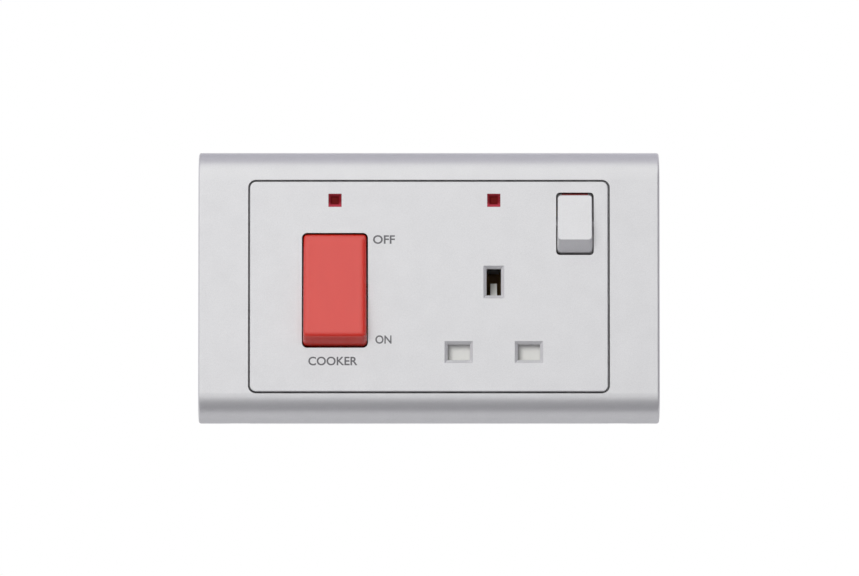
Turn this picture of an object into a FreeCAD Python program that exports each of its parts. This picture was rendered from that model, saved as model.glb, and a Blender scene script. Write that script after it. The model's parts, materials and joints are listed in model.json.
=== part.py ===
import FreeCAD, Part
import math
import os

# Cooker control unit: a double-pole cooker switch beside a 13 A switched socket, on one wall plate.
# X runs along the plate, Z is up and Y points into the wall. The wall plane is Y = 0, the front
# faces -Y, and the origin lies midway between the two fixing holes. All sizes are in millimetres.

# Plate and surround
plate_width = 146.0
plate_height = 86.0
projection = 10.0
surround_wall = 2.2
roll_radius = 9.3
surround_edge_round = 0.8
fixing_pitch = 120.6
fixing_hole_radius = 2.1
hook_spread = 80.0
hook_width = 8.0
hook_thickness = 1.2
hook_catch = 0.8
hook_inset = 5.4
pry_notch_pitch = 119.8
pry_notch_width = 6.2
pry_notch_depth = 0.9

# Fascia and flange
fascia_width = 113.4
surround_rail = 9.7
fascia_corner = 2.0
fascia_gap = 0.55
fascia_wall = 2.0
fascia_edge_round = 0.35
flange_thickness = 2.5
flange_clearance = 0.6
flange_corner = 2.5
core_depth = 1.0
core_rim = 1.2
core_land = 6.0
core_count = 4
fixing_land = 9.0

# Cooker rocker, in its own frame: reach is measured forward from the pivot
cooker_x = -29.75
cooker_z = -1.2
cooker_aperture_width = 20.9
cooker_aperture_height = 36.4
cooker_aperture_corner = 1.65
cooker_lip = 1.4
cooker_pivot_depth = 6.5
cooker_tilt = 9.0
cooker_face_reach = 9.5
cooker_face_length = 32.3
cooker_end_slope = 20.0
cooker_side_draft = 0.25
cooker_edge_round = 1.1
cooker_skirt = 2.5
cooker_trunnion_radius = 1.8
cooker_ear_thickness = 2.0
cooker_pole_pitch = 11.0
cooker_tube_reach = 5.0

# Socket rocker
socket_switch_x = 46.2
socket_switch_drop = 13.4
socket_aperture_width = 11.9
socket_aperture_height = 19.8
socket_aperture_corner = 1.2
socket_lip = 1.2
socket_pivot_depth = 4.5
socket_tilt = 13.5
socket_face_reach = 7.67
socket_face_length = 14.64
socket_end_slope = 25.4
socket_side_draft = 0.22
socket_edge_round = 0.3
socket_skirt = 1.9
socket_trunnion_radius = 1.5
socket_ear_thickness = 1.6
socket_tube_reach = 6.0
flag_width = 8.2
flag_margin = 0.7
flag_thickness = 0.6

# Shared rocker sizes
rocker_wall = 1.6
rocker_side_gap = 0.32
rocker_end_gap = 0.3
rocker_corner = 1.2
ear_gap = 0.8
ear_rim = 1.4
lip_relief = 1.0
running_clearance = 0.05

# Spring-loaded plungers and see-saw contacts
plunger_radius = 2.0
plunger_grip = 4.0
plunger_clearance = 0.1
tube_wall = 0.75
spring_wire = 0.5
spring_gap = 0.15
plunger_spring_turns = 3.5
seesaw_stand = 2.5
seesaw_thickness = 1.2
seesaw_width = 5.0
bead_radius = 1.0
cooker_seesaw_length = 18.0
cooker_seesaw_tilt = 7.0
cooker_contact_offset = 7.3
socket_seesaw_length = 14.4
socket_seesaw_tilt = 6.0
socket_contact_offset = 5.6
contact_radius = 1.6
contact_height = 0.8
contact_closed_gap = 0.15
cradle_half_width = 2.0
cradle_gap = 0.35

# 13 A socket
socket_x = 20.52
earth_z = 1.42
pin_drop = 22.2
pin_pitch = 22.2
earth_slot_width = 4.6
earth_slot_height = 8.4
line_slot_width = 7.0
line_slot_height = 5.0
slot_chamfer = 1.0
slot_chamfer_depth = 0.9
sleeve_wall = 1.3

# Shutter and its return spring
shutter_front_gap = 0.3
shutter_depth = 4.0
shutter_thickness = 1.5
shutter_overlap = 0.6
shutter_wing = 4.6
shutter_travel = 5.2
stem_width = 8.0
tongue_width = 2.05
tongue_drop = 1.7
tongue_reach = 5.0
tongue_back = 1.5
rail_clearance = 0.2
rail_thickness = 1.2
rail_lip = 1.6
notch_width = 5.2
notch_height = 5.4
shutter_spring_radius = 1.7
shutter_spring_turns = 4.0
ledge_thickness = 1.3
peg_length = 2.0

# Neon indicators
neon_drop = 5.95
neon_window = 4.2
lens_clearance = 0.05
lens_flange = 0.9
lens_flange_depth = 1.0
lens_rim = 0.35
lens_dish_draft = 0.75
lens_dish_depth = 0.8
collar_depth = 2.5
collar_wall = 0.8
lamp_radius = 2.0
lamp_length = 10.0
lamp_clearance = 0.15
lead_width = 0.6
lead_hole_radius = 0.7
lead_pitch = 1.8
lead_stand = 2.35
resistor_radius = 1.1
resistor_length = 5.0

# Rear base
base_clearance = 0.5
base_wall = 2.0
base_lap = 1.0
base_depth = 18.0
base_corner = 3.0
bank_wall = 1.5
bank_cover = 1.6
bank_stand = 3.5
bank_margin = 1.7
barrier_thickness = 1.2
barrier_reach = 5.0
back_rib_height = 0.8
back_rib_width = 1.2
back_rib_spread = 8.0
back_rib_pitch = 18.0
screw_inset = 5.2
screw_row_inset = 5.8
inner_screw_x = 29.0
inner_screw_z = 16.0
column_radius = 4.2
boss_radius = 3.2
base_screw_radius = 1.4
base_screw_clearance = 0.2
base_screw_head_radius = 2.8
base_screw_head_height = 2.0
base_screw_sink = 4.0
base_screw_reach = 4.5
driver_slot = 0.8
driver_slot_depth = 0.8

# Terminals
terminal_width = 11.0
terminal_length = 12.0
terminal_height = 11.5
terminal_clearance = 0.3
terminal_bore_radius = 3.25
terminal_bore_height = 4.5
terminal_screw_radius = 1.9
terminal_screw_pitch = 6.0
terminal_head_radius = 2.7
terminal_head_height = 2.2
cable_notch_radius = 4.2
live_terminal_x = -23.3
neutral_terminal_x = -36.3
supply_earth_x = -8.3
load_earth_x = 5.2

# Bars and links, on three levels behind the see-saws
bar_thickness = 1.0
level_gap = 0.8
post_height = 1.2
bar_width = 6.0
link_width = 3.0
bar_clearance = 0.1
bar_lap = 10.0
live_link_gap = 0.3
live_link_offset = 0.8
neutral_link_z = -7.5
socket_bar_offset = 8.2
stud_radius = 2.0
link_stud_radius = 1.4
contact_sheet = 0.7
contact_width = 6.5
earth_contact_width = 7.5
contact_throat = 3.7
contact_heel = 4.7
contact_mouth = 5.3
contact_throat_depth = 3.0
contact_front = -2.5

front = -projection
wall_back = front + fascia_wall
line_z = earth_z - pin_drop
live_x = socket_x + pin_pitch / 2
neutral_x = socket_x - pin_pitch / 2
fascia_height = plate_height - 2 * surround_rail
window_width = fascia_width + 2 * fascia_gap
window_height = fascia_height + 2 * fascia_gap
flange_half_width = plate_width / 2 - surround_wall - flange_clearance
flange_half_height = plate_height / 2 - surround_wall - flange_clearance
cavity_width = fascia_width - 2 * fascia_wall
cavity_height = fascia_height - 2 * fascia_wall
cooker_pivot_y = front + cooker_pivot_depth
socket_pivot_y = front + socket_pivot_depth
socket_switch_z = fascia_height / 2 - socket_switch_drop
neon_z = fascia_height / 2 - neon_drop
lamp_front = wall_back + lens_flange_depth + lamp_clearance
lamp_back = lamp_front + lamp_length
lead_level = lamp_back + lead_stand
shutter_front = front + shutter_depth
shutter_back = shutter_front + shutter_thickness
sleeve_back = shutter_front - shutter_front_gap
shutter_top = line_z + line_slot_height / 2 + shutter_overlap
shutter_foot = line_z - line_slot_height / 2 - shutter_overlap
spring_ledge_z = -cavity_height / 2 + ledge_thickness
base_half_width = cavity_width / 2 - base_clearance
base_half_height = cavity_height / 2 - base_clearance
screw_row_z = base_half_height - screw_row_inset
base_screw_head_depth = base_depth - base_screw_sink
base_floor = base_depth - base_wall
rear_back = base_floor - post_height
rear_level = rear_back - bar_thickness
link_back = rear_level - level_gap
bar_back = link_back - bar_thickness
bar_level = bar_back - bar_thickness
seesaw_axis_depth = bar_level - seesaw_stand
barrier_front = bar_level - barrier_reach
bank_front = bar_level - bank_cover
bank_outer = base_half_height - base_wall
terminal_z = bank_outer - terminal_clearance - terminal_length / 2
bank_inner = terminal_z - terminal_length / 2 - terminal_clearance - bank_wall
terminal_back = bar_back + terminal_height
bank_back = terminal_back + bank_stand
terminal_bore_y = bar_back + terminal_bore_height
live_pole_x = cooker_x + cooker_pole_pitch / 2
neutral_pole_x = cooker_x - cooker_pole_pitch / 2
fixed_contact_z = cooker_z + cooker_contact_offset
socket_contact_z = socket_switch_z + socket_contact_offset
contact_edge = -line_z - contact_mouth / 2 - contact_sheet
live_link_z = live_link_gap + link_width / 2 - min(bank_inner, contact_edge)
live_link_x = socket_switch_x + live_link_offset
socket_bar_x = socket_switch_x - socket_bar_offset
seesaw_front = seesaw_axis_depth - seesaw_thickness
cradle_front = seesaw_axis_depth + cradle_gap


def vec(x, y, z):
    return FreeCAD.Vector(x, y, z)


ALONG_X = vec(1, 0, 0)
ALONG_Y = vec(0, 1, 0)
ALONG_Z = vec(0, 0, 1)


def box(x0, x1, y0, y1, z0, z1):
    return Part.makeBox(x1 - x0, y1 - y0, z1 - z0, vec(x0, y0, z0))


def block(x, z, width, height, y0, y1):
    """A box centred on (x, z) between two depths."""
    return box(x - width / 2, x + width / 2, y0, y1, z - height / 2, z + height / 2)


def rounded_edges(x, z, width, height, radius, y):
    """The sides and corners of a rectangle with round corners, in the plane at depth y."""
    x0, x1 = x - width / 2, x + width / 2
    z0, z1 = z - height / 2, z + height / 2
    r = radius
    cut = r * (1 - math.sqrt(0.5))
    sides = [
        Part.LineSegment(vec(x0 + r, y, z0), vec(x1 - r, y, z0)),
        Part.Arc(vec(x1 - r, y, z0), vec(x1 - cut, y, z0 + cut), vec(x1, y, z0 + r)),
        Part.LineSegment(vec(x1, y, z0 + r), vec(x1, y, z1 - r)),
        Part.Arc(vec(x1, y, z1 - r), vec(x1 - cut, y, z1 - cut), vec(x1 - r, y, z1)),
        Part.LineSegment(vec(x1 - r, y, z1), vec(x0 + r, y, z1)),
        Part.Arc(vec(x0 + r, y, z1), vec(x0 + cut, y, z1 - cut), vec(x0, y, z1 - r)),
        Part.LineSegment(vec(x0, y, z1 - r), vec(x0, y, z0 + r)),
        Part.Arc(vec(x0, y, z0 + r), vec(x0 + cut, y, z0 + cut), vec(x0 + r, y, z0)),
    ]
    return [side.toShape() for side in sides]


def rounded_outline(x, z, width, height, radius, y):
    return Part.Wire(rounded_edges(x, z, width, height, radius, y))


def rounded_block(x, z, width, height, radius, y0, y1):
    outline = rounded_outline(x, z, width, height, radius, y0)
    return Part.Face(outline).extrude(vec(0, y1 - y0, 0))


def rectangle(x, z, width, height, y):
    x0, x1 = x - width / 2, x + width / 2
    z0, z1 = z - height / 2, z + height / 2
    corners = [(x0, z0), (x1, z0), (x1, z1), (x0, z1), (x0, z0)]
    return Part.makePolygon([vec(px, y, pz) for px, pz in corners])


def cylinder_y(x, z, radius, y0, y1):
    return Part.makeCylinder(radius, y1 - y0, vec(x, y0, z), ALONG_Y)


def side_profile(points, x0, x1):
    """A closed outline of (y, z) points, extruded along X."""
    corners = [vec(x0, y, z) for y, z in points]
    return Part.Face(Part.makePolygon(corners + corners[:1])).extrude(vec(x1 - x0, 0, 0))


def plan_profile(points, z0, z1):
    """A closed outline of (x, y) points, extruded along Z."""
    corners = [vec(x, y, z0) for x, y in points]
    return Part.Face(Part.makePolygon(corners + corners[:1])).extrude(vec(0, 0, z1 - z0))


def flat_profile(points, y0, y1):
    """A closed outline of (x, z) points, extruded along Y."""
    corners = [vec(x, y0, z) for x, z in points]
    return Part.Face(Part.makePolygon(corners + corners[:1])).extrude(vec(0, y1 - y0, 0))


def strip_outline(path, thickness):
    """The outline of a strip of even thickness along a centre line, with mitred corners."""
    left, right = [], []
    last = len(path) - 1
    for i, (a, b) in enumerate(path):
        before = (path[i - 1], path[i]) if i > 0 else (path[0], path[1])
        after = (path[i], path[i + 1]) if i < last else (path[last - 1], path[last])
        normals = []
        for (a0, b0), (a1, b1) in (before, after):
            run = math.hypot(a1 - a0, b1 - b0)
            normals.append((-(b1 - b0) / run, (a1 - a0) / run))
        mitre_a = normals[0][0] + normals[1][0]
        mitre_b = normals[0][1] + normals[1][1]
        along = mitre_a * normals[0][0] + mitre_b * normals[0][1]
        reach = thickness / 2 / along
        left.append((a + mitre_a * reach, b + mitre_b * reach))
        right.append((a - mitre_a * reach, b - mitre_b * reach))
    return left + right[::-1]


def flat_strip(path, width, level):
    """A bar cut from sheet, lying flat at a level, along a path of (x, z) points."""
    return flat_profile(strip_outline(path, width), level, level + bar_thickness)


def fuse(first, *others):
    return first.fuse(list(others)).removeSplitter()


def mirrored_z(shape):
    return shape.mirror(vec(0, 0, 0), ALONG_Z)


def posed(shape, tilt, x, y, z):
    """A piece drawn about its pivot, tilted about X and carried to its place."""
    turned = shape.copy()
    turned.rotate(vec(0, 0, 0), ALONG_X, tilt)
    turned.translate(vec(x, y, z))
    return turned


def coil(radius, length, turns):
    """A spring of square wire standing on the origin, along +Z."""
    middle = radius - spring_wire / 2
    height = length - spring_wire
    helix = Part.makeHelix(height / turns, height, middle)
    half = spring_wire / 2
    corners = [(-half, -half), (half, -half), (half, half), (-half, half), (-half, -half)]
    section = Part.makePolygon([vec(middle + a, 0, b) for a, b in corners])
    spring = Part.Wire(helix.Edges).makePipeShell([section], True, True)
    spring.translate(vec(0, 0, half))
    return spring


def wire_run(points):
    """A square tinned wire through the points, mitred at each bend, that starts along Y."""
    start = points[0]
    section = rectangle(start.x, start.z, lead_width, lead_width, start.y)
    mitred = 1
    return Part.makePolygon(points).makePipeShell([section], True, True, mitred)


# Surround

def surround_section(inset, x):
    """The end outline of the surround, moved in from its outside by an inset."""
    radius = roll_radius - inset
    face = front + inset
    edge = plate_height / 2 - inset
    flat = edge - radius
    rim = face + radius
    diagonal = radius * math.sqrt(0.5)
    sides = [
        Part.LineSegment(vec(x, 0, -edge), vec(x, rim, -edge)),
        Part.Arc(vec(x, rim, -edge), vec(x, rim - diagonal, -flat - diagonal), vec(x, face, -flat)),
        Part.LineSegment(vec(x, face, -flat), vec(x, face, flat)),
        Part.Arc(vec(x, face, flat), vec(x, rim - diagonal, flat + diagonal), vec(x, rim, edge)),
        Part.LineSegment(vec(x, rim, edge), vec(x, 0, edge)),
        Part.LineSegment(vec(x, 0, edge), vec(x, 0, -edge)),
    ]
    return Part.Wire([side.toShape() for side in sides])


def surround_body(inset):
    x = plate_width / 2 - inset
    return Part.Face(surround_section(inset, -x)).extrude(vec(2 * x, 0, 0))


def hook_slot(x):
    """The flange slot for one upper hook: narrow in front, wide behind for the catch."""
    top = plate_height / 2 - hook_inset
    foot = top - hook_thickness
    half = hook_width / 2 + rail_clearance
    step = -flange_thickness / 2
    neck = box(x - half, x + half, -flange_thickness, step,
               foot - rail_clearance, top + rail_clearance)
    seat = box(x - half, x + half, step, 0,
               foot - rail_clearance, top + hook_catch + rail_clearance)
    return neck.fuse(seat)


def hook(x):
    """One upper snap hook, with a sloped nose on its catch."""
    top = plate_height / 2 - hook_inset
    foot = top - hook_thickness
    step = -flange_thickness / 2 + rail_clearance
    root = front + surround_wall
    end = -rail_clearance
    outline = [(root, foot), (end, foot), (end, top), (step, top + hook_catch), (step, top), (root, top)]
    return side_profile(outline, x - hook_width / 2, x + hook_width / 2)


def make_surround():
    body = surround_body(0)
    end_edges = []
    for edge in body.Edges:
        on_end = all(abs(abs(v.X) - plate_width / 2) < 1e-6 for v in edge.Vertexes)
        on_wall = all(abs(v.Y) < 1e-6 for v in edge.Vertexes)
        if on_end and not on_wall:
            end_edges.append(edge)
    body = body.makeFillet(surround_edge_round, end_edges)
    body = body.cut(surround_body(surround_wall))
    window = rounded_block(0, 0, window_width, window_height, fascia_corner + fascia_gap, front, 0)
    body = body.cut(window)
    hooks = []
    for x in (-hook_spread / 2, hook_spread / 2):
        hooks.append(hook(x))
        hooks.append(mirrored_z(hook(x)))
    notches = []
    for x in (-pry_notch_pitch / 2, pry_notch_pitch / 2):
        notches.append(block(x, -plate_height / 2, pry_notch_width, 2 * surround_wall, -pry_notch_depth, 0))
    return body.fuse(hooks).cut(notches)


# Fascia

def pin_slot(x, z, width, height):
    """The hole for one plug pin, with its chamfered mouth."""
    mouth = rectangle(x, z, width + 2 * slot_chamfer, height + 2 * slot_chamfer, front)
    throat = rectangle(x, z, width, height, front + slot_chamfer_depth)
    chamfer = Part.makeLoft([mouth, throat], True, True)
    return chamfer.fuse(block(x, z, width, height, front + slot_chamfer_depth, 0))


def pin_sleeve(x, z, width, height):
    wide = width + 2 * sleeve_wall
    tall = height + 2 * sleeve_wall
    return block(x, z, wide, tall, wall_back, sleeve_back)


def pin_slots():
    return [
        (socket_x, earth_z, earth_slot_width, earth_slot_height),
        (live_x, line_z, line_slot_width, line_slot_height),
        (neutral_x, line_z, line_slot_width, line_slot_height),
    ]


def rocker_root_width(aperture_width):
    return aperture_width - 2 * rocker_side_gap


def ear_pair(x, z, pivot_y, root_width, thickness, trunnion_radius):
    """The two bearing ears of a rocker, standing on the back of the fascia."""
    ears = []
    half = trunnion_radius + ear_rim
    inner = root_width / 2 + ear_gap
    for start in (x + inner, x - inner - thickness):
        plate = box(start, start + thickness, wall_back, pivot_y, z - half, z + half)
        end = Part.makeCylinder(half, thickness, vec(start, pivot_y, z), ALONG_X)
        hole_radius = trunnion_radius + running_clearance
        hole = Part.makeCylinder(hole_radius, thickness, vec(start, pivot_y, z), ALONG_X)
        ears.append(plate.fuse(end).cut(hole))
    return ears


def screw_places():
    x = base_half_width - screw_inset
    return [(-x, screw_row_z), (-x, -screw_row_z), (x, -screw_row_z), (inner_screw_x, inner_screw_z)]


def shutter_rails():
    """Two rails behind the fascia that carry the ends of the shutter."""
    lip_front = shutter_back + rail_clearance
    lip_back = lip_front + rail_thickness
    left = neutral_x - shutter_wing - rail_clearance
    right = live_x + shutter_wing + rail_clearance
    foot = shutter_foot - shutter_travel
    rails = []
    for edge, side in ((left, -1), (right, 1)):
        outer = edge + side * rail_thickness
        inner = edge - side * rail_lip
        outline = [
            (edge, wall_back), (outer, wall_back), (outer, lip_back),
            (inner, lip_back), (inner, lip_front), (edge, lip_front),
        ]
        rails.append(plan_profile(outline, foot, shutter_top))
    return rails


def spring_seat():
    """The ledge under the shutter spring, with the peg that holds the coil."""
    middle = (shutter_front + shutter_back) / 2
    floor = -cavity_height / 2
    ledge = box(socket_x - notch_width / 2, socket_x + notch_width / 2, wall_back,
                middle + shutter_spring_radius, floor - fascia_wall / 2, spring_ledge_z)
    peg_radius = shutter_spring_radius - spring_wire - spring_gap
    peg = Part.makeCylinder(peg_radius, peg_length, vec(socket_x, middle, spring_ledge_z), ALONG_Z)
    return ledge.fuse(peg)


def core_row(x0, x1, z0, z1, count):
    """Shallow pockets in the flange's back, side by side, with a rib between neighbours."""
    step = (x1 - x0 + core_rim) / count
    row = []
    for place in range(count):
        start = x0 + place * step
        row.append(box(start, start + step - core_rim, -core_depth, 0, z0, z1))
    return row


def flange_cores():
    """The pockets around the hooks and the fixing holes, which stand on full thickness."""
    inner_x = fascia_width / 2 + core_rim
    outer_x = flange_half_width - core_rim
    inner_z = fascia_height / 2 + core_rim
    outer_z = flange_half_height - core_rim
    hook_x = hook_spread / 2
    cores = core_row(-hook_x + core_land, hook_x - core_land, inner_z, outer_z, core_count)
    for side in (-1, 1):
        near, far = sorted((side * (hook_x + core_land), side * outer_x))
        cores += core_row(near, far, inner_z, outer_z, core_count // 2)
        near, far = sorted((side * inner_x, side * outer_x))
        cores += core_row(near, far, fixing_land, inner_z - core_rim, 1)
    return cores + [mirrored_z(core) for core in cores]


def make_front_plate():
    pedestal = rounded_block(0, 0, fascia_width, fascia_height, fascia_corner, front, 0)
    rim = [e for e in pedestal.Edges if all(abs(v.Y - front) < 1e-6 for v in e.Vertexes)]
    pedestal = pedestal.makeFillet(fascia_edge_round, rim)
    flange = rounded_block(0, 0, 2 * flange_half_width, 2 * flange_half_height, flange_corner,
                           -flange_thickness, 0)
    body = pedestal.fuse(flange)
    body = body.cut(rounded_block(0, 0, cavity_width, cavity_height, base_corner + base_clearance,
                                  wall_back, 0))

    added = shutter_rails()
    added.append(spring_seat())
    for slot in pin_slots():
        added.append(pin_sleeve(*slot))
    for x, z in screw_places():
        added.append(cylinder_y(x, z, boss_radius, wall_back, -base_lap))
    cooker_width = rocker_root_width(cooker_aperture_width)
    added += ear_pair(cooker_x, cooker_z, cooker_pivot_y, cooker_width,
                      cooker_ear_thickness, cooker_trunnion_radius)
    socket_width = rocker_root_width(socket_aperture_width)
    added += ear_pair(socket_switch_x, socket_switch_z, socket_pivot_y, socket_width,
                      socket_ear_thickness, socket_trunnion_radius)
    body = body.fuse(added)

    cuts = [pin_slot(*slot) for slot in pin_slots()]
    cuts.append(rounded_block(cooker_x, cooker_z, cooker_aperture_width, cooker_aperture_height,
                              cooker_aperture_corner, front, wall_back))
    cuts.append(block(cooker_x, cooker_z, cooker_aperture_width, cooker_aperture_height + 2 * lip_relief,
                      front + cooker_lip, wall_back))
    cuts.append(rounded_block(socket_switch_x, socket_switch_z, socket_aperture_width,
                              socket_aperture_height, socket_aperture_corner, front, wall_back))
    cuts.append(block(socket_switch_x, socket_switch_z, socket_aperture_width,
                      socket_aperture_height + 2 * lip_relief, front + socket_lip, wall_back))
    for x in (cooker_x, socket_x):
        cuts.append(block(x, neon_z, neon_window, neon_window, front, wall_back))
    for x, z in screw_places():
        cuts.append(cylinder_y(x, z, base_screw_radius, -base_lap - base_screw_reach, -base_lap))
    for x in (-fixing_pitch / 2, fixing_pitch / 2):
        cuts.append(cylinder_y(x, 0, fixing_hole_radius, -flange_thickness, 0))
    for x in (-hook_spread / 2, hook_spread / 2):
        cuts.append(hook_slot(x))
        cuts.append(mirrored_z(hook_slot(x)))
    return body.cut(cuts + flange_cores())


# Rockers, drawn level about the pivot with the face towards -Y

def root_half_length(pivot_depth, lip, aperture_height):
    """How far an end may lie from the pivot and still swing clear of the aperture's lip."""
    return math.hypot(pivot_depth - lip, aperture_height / 2) - rocker_end_gap


def shoulder_of(face_reach, face_length, slope, limit):
    """Where the sloped end face, going back from the face, meets the swing limit."""
    lean = math.tan(math.radians(slope))
    half = face_length / 2
    a = 1 + lean * lean
    b = 2 * (half * lean - face_reach)
    c = face_reach * face_reach + half * half - limit * limit
    back = (-b + math.sqrt(b * b - 4 * a * c)) / (2 * a)
    return face_reach - back, half + back * lean


def tapered_head(reach, length, width, shoulder, root_length, root_width):
    """The sloped front of a rocker: flat sides from the face to the shoulder, and round corners."""
    face = rounded_edges(0, 0, width, length, rocker_corner, -reach)
    root = rounded_edges(0, 0, root_width, root_length, rocker_corner, -shoulder)
    sides = [Part.Face(Part.Wire(face)), Part.Face(Part.Wire(root))]
    for near, far in zip(face, root):
        if near.Curve.TypeId == "Part::GeomLine":
            a, b = (v.Point for v in near.Vertexes)
            d, c = (v.Point for v in far.Vertexes)
            sides.append(Part.Face(Part.makePolygon([a, b, c, d, a])))
        else:
            sides.append(Part.makeRuledSurface(near, far))
    shell = Part.Shell(sides)
    shell.sewShape()
    head = Part.Solid(shell)
    if head.Volume < 0:
        head.reverse()
    return head


def tapered_hollow(reach, length, width, shoulder, root_length, root_width, skirt):
    """The hollow of a rocker, open at the skirt."""
    sloped = Part.makeLoft([rectangle(0, 0, width, length, -reach),
                            rectangle(0, 0, root_width, root_length, -shoulder)], True, True)
    return sloped.fuse(block(0, 0, root_width, root_length, -shoulder, skirt))


def make_rocker(reach, length, slope, draft, edge_round, skirt, aperture, pivot_depth, lip,
                trunnion_radius, ear_thickness, tube_offsets, tube_reach):
    aperture_width, aperture_height = aperture
    limit = root_half_length(pivot_depth, lip, aperture_height)
    shoulder, half = shoulder_of(reach, length, slope, limit)
    root_width = rocker_root_width(aperture_width)
    width = root_width - 2 * draft
    head = tapered_head(reach, length, width, shoulder, 2 * half, root_width)
    rim = [e for e in head.Edges if all(abs(v.Y + reach) < 1e-6 for v in e.Vertexes)]
    head = head.makeFillet(edge_round, rim)
    body = rounded_block(0, 0, root_width, 2 * half, rocker_corner, -shoulder, skirt)
    roof = reach - rocker_wall
    thin = 2 * rocker_wall
    hollow = tapered_hollow(roof, length - thin, width - thin, shoulder, 2 * half - thin,
                            root_width - thin, skirt)
    rocker = head.fuse(body).cut(hollow)
    bore = plunger_radius + running_clearance
    tubes = [cylinder_y(x, 0, bore + tube_wall, -roof - rocker_wall / 2, tube_reach) for x in tube_offsets]
    bores = [cylinder_y(x, 0, bore, -roof, tube_reach) for x in tube_offsets]
    pin_end = root_width / 2 + ear_gap + ear_thickness - running_clearance
    pin_start = root_width / 2 - rocker_wall
    pins = []
    for start in (pin_start, -pin_end):
        pins.append(Part.makeCylinder(trunnion_radius, pin_end - pin_start, vec(start, 0, 0), ALONG_X))
    return rocker.fuse(tubes + pins).cut(bores).removeSplitter()


def cooker_rocker_level():
    return make_rocker(
        cooker_face_reach, cooker_face_length, cooker_end_slope, cooker_side_draft, cooker_edge_round,
        cooker_skirt, (cooker_aperture_width, cooker_aperture_height), cooker_pivot_depth, cooker_lip,
        cooker_trunnion_radius, cooker_ear_thickness,
        (-cooker_pole_pitch / 2, cooker_pole_pitch / 2), cooker_tube_reach)


def socket_rocker_level():
    return make_rocker(
        socket_face_reach, socket_face_length, socket_end_slope, socket_side_draft, socket_edge_round,
        socket_skirt, (socket_aperture_width, socket_aperture_height), socket_pivot_depth, socket_lip,
        socket_trunnion_radius, socket_ear_thickness, (0,), socket_tube_reach)


def flag_level():
    """The red inlay, flush in the upper end face."""
    limit = root_half_length(socket_pivot_depth, socket_lip, socket_aperture_height)
    shoulder, half = shoulder_of(socket_face_reach, socket_face_length, socket_end_slope, limit)
    lean = math.radians(socket_end_slope)
    back, up = math.cos(lean), math.sin(lean)
    slant = (socket_face_reach - shoulder) / back
    near = flag_margin + socket_edge_round
    far = slant - flag_margin
    outline = []
    for along, depth in ((near, 0), (far, 0), (far, flag_thickness), (near, flag_thickness)):
        y = -socket_face_reach + along * back + depth * up
        z = socket_face_length / 2 + along * up - depth * back
        outline.append((y, z))
    return side_profile(outline, -flag_width / 2, flag_width / 2)


def plunger_tip(pivot_y):
    """How far behind the pivot the nose stands when the rocker is level."""
    return seesaw_front - plunger_clearance - pivot_y


def plunger_level(x, pivot_y, tube_reach):
    centre = plunger_tip(pivot_y) - plunger_radius
    tail = tube_reach - plunger_grip
    shank = cylinder_y(x, 0, plunger_radius, tail, centre)
    nose = Part.makeSphere(plunger_radius, vec(x, centre, 0), ALONG_Y, 0, 90)
    return shank.fuse(nose).removeSplitter()


def plunger_spring_level(x, reach, tube_reach):
    tail = tube_reach - plunger_grip
    length = tail + reach - rocker_wall
    spring = coil(plunger_radius - spring_gap, length, plunger_spring_turns)
    spring.rotate(vec(0, 0, 0), ALONG_X, 90)
    spring.translate(vec(x, tail, 0))
    return spring


def seesaw_level(length, contact_offset):
    """A moving contact about its bead: strip, half-round bead and contact button."""
    strip = block(0, 0, seesaw_width, length, -seesaw_thickness, 0)
    bead = Part.makeCylinder(bead_radius, seesaw_width, vec(-seesaw_width / 2, 0, 0), ALONG_X)
    button = cylinder_y(0, contact_offset, contact_radius, 0, contact_height)
    return strip.fuse([bead, button]).removeSplitter()


def fixed_contact_front(tilt, offset):
    """Depth of a fixed contact that the button all but meets when the switch is closed."""
    lean = math.radians(tilt)
    edge = offset + contact_radius
    return seesaw_axis_depth + contact_height * math.cos(lean) + edge * math.sin(lean) + contact_closed_gap


def cradle(x, z, back):
    """The block under a see-saw, with the groove that its bead rocks in."""
    body = block(x, z, seesaw_width, 2 * cradle_half_width, cradle_front, back)
    start = vec(x - seesaw_width / 2, seesaw_axis_depth, z)
    groove = Part.makeCylinder(bead_radius + running_clearance, seesaw_width, start, ALONG_X)
    return body.cut(groove)


# Metalwork

def make_terminal(x, side):
    """A terminal block on the upper (1) or lower (-1) bank."""
    z = side * terminal_z
    body = block(x, z, terminal_width, terminal_length, bar_back, terminal_back)
    start = vec(x, terminal_bore_y, z - terminal_length / 2)
    bore = Part.makeCylinder(terminal_bore_radius, terminal_length, start, ALONG_Z)
    holes = []
    for dz in (-terminal_screw_pitch / 2, terminal_screw_pitch / 2):
        holes.append(cylinder_y(x, z + dz, terminal_screw_radius + running_clearance,
                                terminal_bore_y, terminal_back))
    return body.cut([bore] + holes)


def slotted_screw(x, z, shank_radius, shank_front, head_radius, head_front, head_back):
    shank = cylinder_y(x, z, shank_radius, shank_front, head_front)
    head = cylinder_y(x, z, head_radius, head_front, head_back)
    slot = block(x, z, 2 * head_radius, driver_slot, head_back - driver_slot_depth, head_back)
    return shank.fuse(head).cut(slot).removeSplitter()


def terminal_places():
    return [
        (neutral_terminal_x, 1), (live_terminal_x, 1), (supply_earth_x, 1), (load_earth_x, 1),
        (neutral_terminal_x, -1), (live_terminal_x, -1),
    ]


def make_terminal_screws():
    tip = terminal_bore_y + terminal_bore_radius + running_clearance
    head_back = terminal_back + terminal_head_height
    screws = []
    for x, side in terminal_places():
        for dz in (-terminal_screw_pitch / 2, terminal_screw_pitch / 2):
            screws.append(slotted_screw(x, side * terminal_z + dz, terminal_screw_radius, tip,
                                        terminal_head_radius, terminal_back, head_back))
    return Part.makeCompound(screws)


def make_base_screws():
    tip = -base_lap - base_screw_reach
    head_back = base_screw_head_depth + base_screw_head_height
    screws = []
    for x, z in screw_places():
        screws.append(slotted_screw(x, z, base_screw_radius, tip, base_screw_head_radius,
                                    base_screw_head_depth, head_back))
    return Part.makeCompound(screws)


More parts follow.
